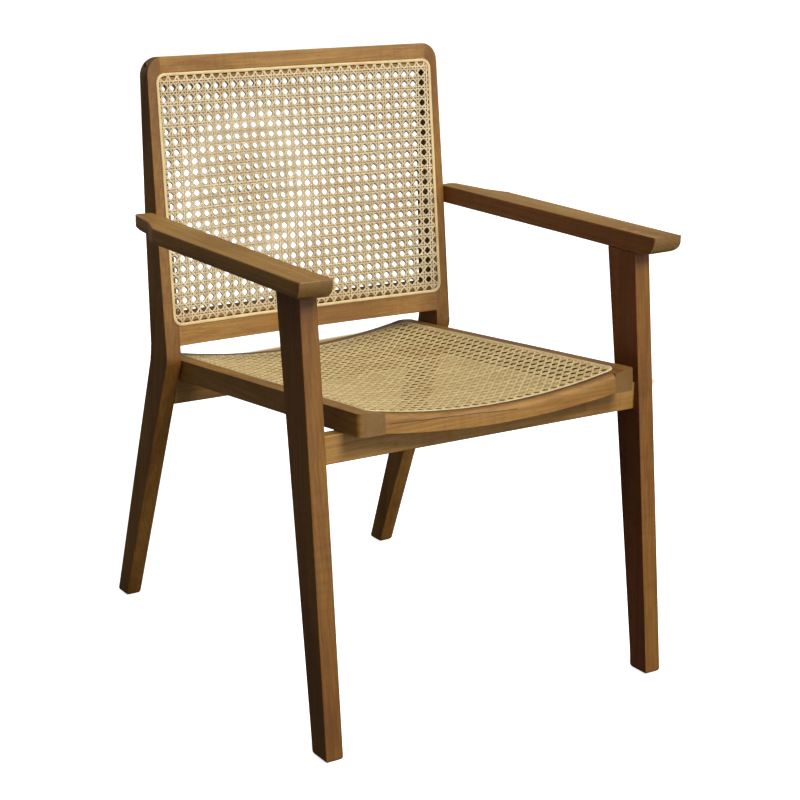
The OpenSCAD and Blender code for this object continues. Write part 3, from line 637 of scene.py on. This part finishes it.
# the back's own axes start at the bend of the legs, and the rear face leans less than the
# front one, as the posts grow thinner upwards. A hollow is given by its radius and its depth
across_chair = Vector((1, 0, 0))
back_low, back_high = 47 * mm, 388.1 * mm
back_mid = (back_low + back_high) / 2
back_field = 219.3 * mm, (back_high - back_low) / 2
front_hollow, rear_hollow = (2040 * mm, 11.5 * mm), (-2040 * mm, -11.5 * mm)
post_depth = 49.68 * mm
back_up = Vector((0, math.sin(post_lean), math.cos(post_lean)))
back_away = Vector((0, math.cos(post_lean), -math.sin(post_lean)))
front_origin = Vector((0, 143.9 * mm, 393 * mm))
front_place = axes(front_origin + back_up * back_mid, across_chair, back_up, -back_away)
rear_lean = post_lean - math.radians(3.87)
rear_up = Vector((0, math.sin(rear_lean), math.cos(rear_lean)))
rear_away = Vector((0, math.cos(rear_lean), -math.sin(rear_lean)))
rear_origin = front_origin + back_away * post_depth
rear_place = axes(rear_origin + rear_up * back_mid, -across_chair, rear_up, rear_away)
weave("back_front_cane_woven", "back_front_cane", back_cane, back_field, front_hollow, front_place,
      widths=(2.2 * mm, 2.45 * mm), hole=(-4.0 * mm, 7.15 * mm), pitch=(13.70 * mm, 14.30 * mm),
      skew=0.014, seed=11)


def pulled(across, up, height):
    """The rear sheet was pulled out of line near its middle when it was stretched."""
    middle, reach = (80 * mm, 8 * mm), 75 * mm
    pull = math.exp(-((across - middle[0]) ** 2 + (up - middle[1]) ** 2) / (2 * reach ** 2))
    return across - 4.5 * mm * pull, up + 3.5 * mm * pull, height


weave("back_rear_cane_woven", "back_rear_cane", back_cane, back_field, rear_hollow, rear_place,
      widths=(2.6 * mm, 3.0 * mm), hole=(-0.9 * mm, 2.9 * mm), pitch=(13.90 * mm, 14.59 * mm),
      skew=0.0248, seed=21, warp=pulled)

seat_tilt = math.radians(4.8)
seat_low, seat_high = 18 * mm, 517.5 * mm
seat_field = 190.5 * mm, (seat_high - seat_low) / 2
seat_hollow = 964.5 * mm, 19 * mm
seat_back = Vector((0, math.cos(seat_tilt), -math.sin(seat_tilt)))
seat_up = Vector((0, math.sin(seat_tilt), math.cos(seat_tilt)))
seat_origin = Vector((0, -314.46 * mm, 430.5 * mm))
seat_place = axes(seat_origin + seat_back * (seat_low + seat_high) / 2, across_chair, seat_back, seat_up)
weave("seat_cane_woven", "seat_cane", seat_cane, seat_field, seat_hollow, seat_place,
      widths=(2.3 * mm, 2.5 * mm), hole=(0, 0), pitch=(13.5 * mm, 14.2 * mm), skew=0.0, seed=31)


# Splines: a strip of peeled rattan hammered into each groove with glue, over the edge of
# the cane. Its top stands out of the wood and is slightly rounded.

spline_w = 4.4 * mm
spline_in = 0.15 * mm
spline_deep = 4.85 * mm
back_proud, seat_proud = 1.4 * mm, 0.9 * mm


def rounded_loop(half_w, half_h, radius, step):
    """A rectangle with round corners. Its sides carry points too, so that they follow the hollow."""
    points = []
    corners = ((1, 1), (-1, 1), (-1, -1), (1, -1))

    def on_corner(number, angle):
        turn = math.radians(angle)
        toward_x, toward_y = corners[number % 4]
        return (toward_x * (half_w - radius) + radius * math.cos(turn),
                toward_y * (half_h - radius) + radius * math.sin(turn), 0)

    for number in range(4):
        points += [on_corner(number, 90 * number + 15 * k) for k in range(7)]
        last, target = points[-1], on_corner(number + 1, 90 * (number + 1))
        count = int(math.dist(last, target) / step)
        for k in range(1, count):
            share = k / count
            points.append(tuple(a + (b - a) * share for a, b in zip(last, target)))
    return points


def spline_strip(name, replaced, field, hollow, place, proud, seed):
    inset = spline_in + spline_w / 2
    loop = rounded_loop(field[0] - inset, field[1] - inset, groove_r - inset, step=9 * mm)
    half, edge = spline_w / 2, -0.4 * mm
    right_side = [(half * 0.8, -spline_deep), (half, edge), (half, proud * 0.45),
                  (half * 0.86, proud * 0.74), (half * 0.55, proud * 0.94)]
    left_side = [(-across, up) for across, up in reversed(right_side)]
    outline = [left_side[-1], *right_side, (0, proud), *left_side[:-1]]
    profile = profile_curve(name + " section", outline)
    piece = follow(name, [loop], profile, hollow, place, peeled_rattan, seed, closed=True)
    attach(piece, "root")
    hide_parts(replaced)


peeled_rattan = strand_material("peeled rattan spline", (0.68, 0.54, 0.29), (0.57, 0.43, 0.20))
spline_strip("back_front_spline_strip", "back_front_spline", back_field, front_hollow, front_place,
             back_proud, seed=41)
spline_strip("back_rear_spline_strip", "back_rear_spline", back_field, rear_hollow, rear_place,
             back_proud, seed=42)
spline_strip("seat_spline_strip", "seat_spline", seat_field, seat_hollow, seat_place, seat_proud, seed=43)


# Room: a plain white floor that keeps the chair's shadow and has a painted shadow where
# the camera sees it through the seat, and a white world that lights the chair only weakly.
# A large soft lamp stands in front and above, and weak ones stand low in front, at the
# right and behind.

floor_half = 14
floor_glow, floor_paint = (0.80, 0.80, 0.80), (0.85, 0.85, 0.85)
# the painted shadow's colours for the camera: its glow and its diffuse colour
painted_shadow_glow, painted_shadow_tone = (0.37, 0.26, 0.11), (0.02, 0.02, 0.02)
floor_bounce = (0.10, 0.09, 0.08)
toward_camera = (-0.523, -0.814, 0.255)
# the painted shadow's right, left, far and near side: the direction in which the distance
# is measured, and the distances at which the painted shadow starts and at which it is full
painted_shadow_sides = (((1, 0.232, 0), 1.450, 1.418), ((1, 0.0915, 0), 0.62, 0.67),
               ((-0.09, 1, 0), 1.436, 1.412), ((0, 1, 0), 0.78, 0.85))


def seen_node(tree):
    """One for what the camera sees, also through glass, and nought for the light on other things."""
    rays = add_node(tree, "ShaderNodeLightPath").outputs
    return math_node(tree, "MAXIMUM", rays["Is Camera Ray"], rays["Is Transmission Ray"])


def floor_finish():
    """White for the camera apart from the chair's shadow, with a painted shadow where it shows through the
    seat, seen only from about the camera's direction.
    """
    material, tree = blank_material("pale floor")
    seen = seen_node(tree)
    place = object_place(tree)
    # painted shadow: a dim warm patch behind the chair, standing in for the floor in the chair's shade as the
    # camera sees it through the seat's holes
    painted_shadow = 1.0
    for direction, start, full in painted_shadow_sides:
        distance = vector_node(tree, "DOT_PRODUCT", place, direction, "Value")
        side = range_node(tree, distance, (start, full), (0, 1))
        painted_shadow = math_node(tree, "MULTIPLY", side, painted_shadow)
    incoming = add_node(tree, "ShaderNodeNewGeometry").outputs["Incoming"]
    view = vector_node(tree, "DOT_PRODUCT", incoming, toward_camera, "Value")
    painted_shadow = math_node(tree, "MULTIPLY", painted_shadow, ramp_node(tree, view, [(0.970, 0.0), (0.985, 1.0)]))
    tone = mix_colours(tree, seen, floor_bounce, mix_colours(tree, painted_shadow, floor_paint, painted_shadow_tone))
    matt = add_node(tree, "ShaderNodeBsdfDiffuse", {"Color": tone}).outputs[0]
    shine = mix_colours(tree, seen, (0, 0, 0), mix_colours(tree, painted_shadow, floor_glow, painted_shadow_glow))
    glow = add_node(tree, "ShaderNodeEmission", {"Color": shine}).outputs[0]
    mixed = add_node(tree, "ShaderNodeAddShader", {0: matt, 1: glow}).outputs[0]
    add_node(tree, "ShaderNodeOutputMaterial", {"Surface": mixed})
    return material


floor_mesh = bpy.data.meshes.new("floor")
floor_mesh.from_pydata([(x * floor_half, y * floor_half, 0) for x, y in ((-1, -1), (1, -1), (1, 1), (-1, 1))],
                       [], [(0, 1, 2, 3)])
floor_mesh.materials.append(floor_finish())
floor = put_in_scene("floor", floor_mesh)

world = bpy.data.worlds.new("white room")
bpy.context.scene.world = world
world.use_nodes = True
sky = world.node_tree
sky.nodes.clear()
light_on_chair, white_for_camera = 0.28, 1.0
strength = range_node(sky, seen_node(sky), (0, 1), (light_on_chair, white_for_camera))
glow = add_node(sky, "ShaderNodeBackground", {"Color": (1, 1, 1, 1), "Strength": strength})
add_node(sky, "ShaderNodeOutputWorld", {"Surface": glow.outputs[0]})


def soft_lamp(name, place, aim_height, power, size):
    data = bpy.data.lights.new(name, "AREA")
    data.energy = power
    data.size = size
    lamp = put_in_scene(name, data)
    lamp.location = place
    lamp.rotation_euler = (Vector((0, 0, aim_height)) - Vector(place)).to_track_quat("-Z", "Y").to_euler()
    return lamp


soft_lamp("front lamp", (0.7, -5.8, 5.3), aim_height=0.45, power=640, size=2.6)
soft_lamp("low front lamp", (0.8, -5.0, 0.9), aim_height=0.45, power=90, size=3.0)
soft_lamp("side lamp", (3.2, -0.4, 2.0), aim_height=0.5, power=30, size=1.6)
rear_lamp = soft_lamp("rear lamp", (0.25, 4.9, 0.8), aim_height=0.4, power=90, size=1.6)
rear_lamp.visible_glossy = False


# Camera: a little above the chair's back, in front and to the left, with a long lens. Its
# place and lens follow from the chair's own parallel and square edges.

turn, dip, roll = math.radians(33.125), math.radians(15.917), math.radians(0.60)
forward = Vector((math.sin(turn) * math.cos(dip), math.cos(turn) * math.cos(dip), -math.sin(dip)))
level = Vector((math.cos(turn), -math.sin(turn), 0))
rise = Vector((math.sin(turn) * math.sin(dip), math.cos(turn) * math.sin(dip), math.cos(dip)))
right = level * math.cos(roll) + rise * math.sin(roll)
upward = rise * math.cos(roll) - level * math.sin(roll)
sensor, picture_px, focal_px = 36, 800, 1912.84
lens = bpy.data.cameras.new("camera")
lens.sensor_width = sensor
lens.lens = sensor * focal_px / picture_px
camera = put_in_scene("camera", lens)
camera.matrix_world = axes(Vector((-1.3422, -2.1365, 1.0613)), right, upward, -forward)
bpy.context.scene.camera = camera
bpy.context.scene.view_settings.view_transform = "Standard"
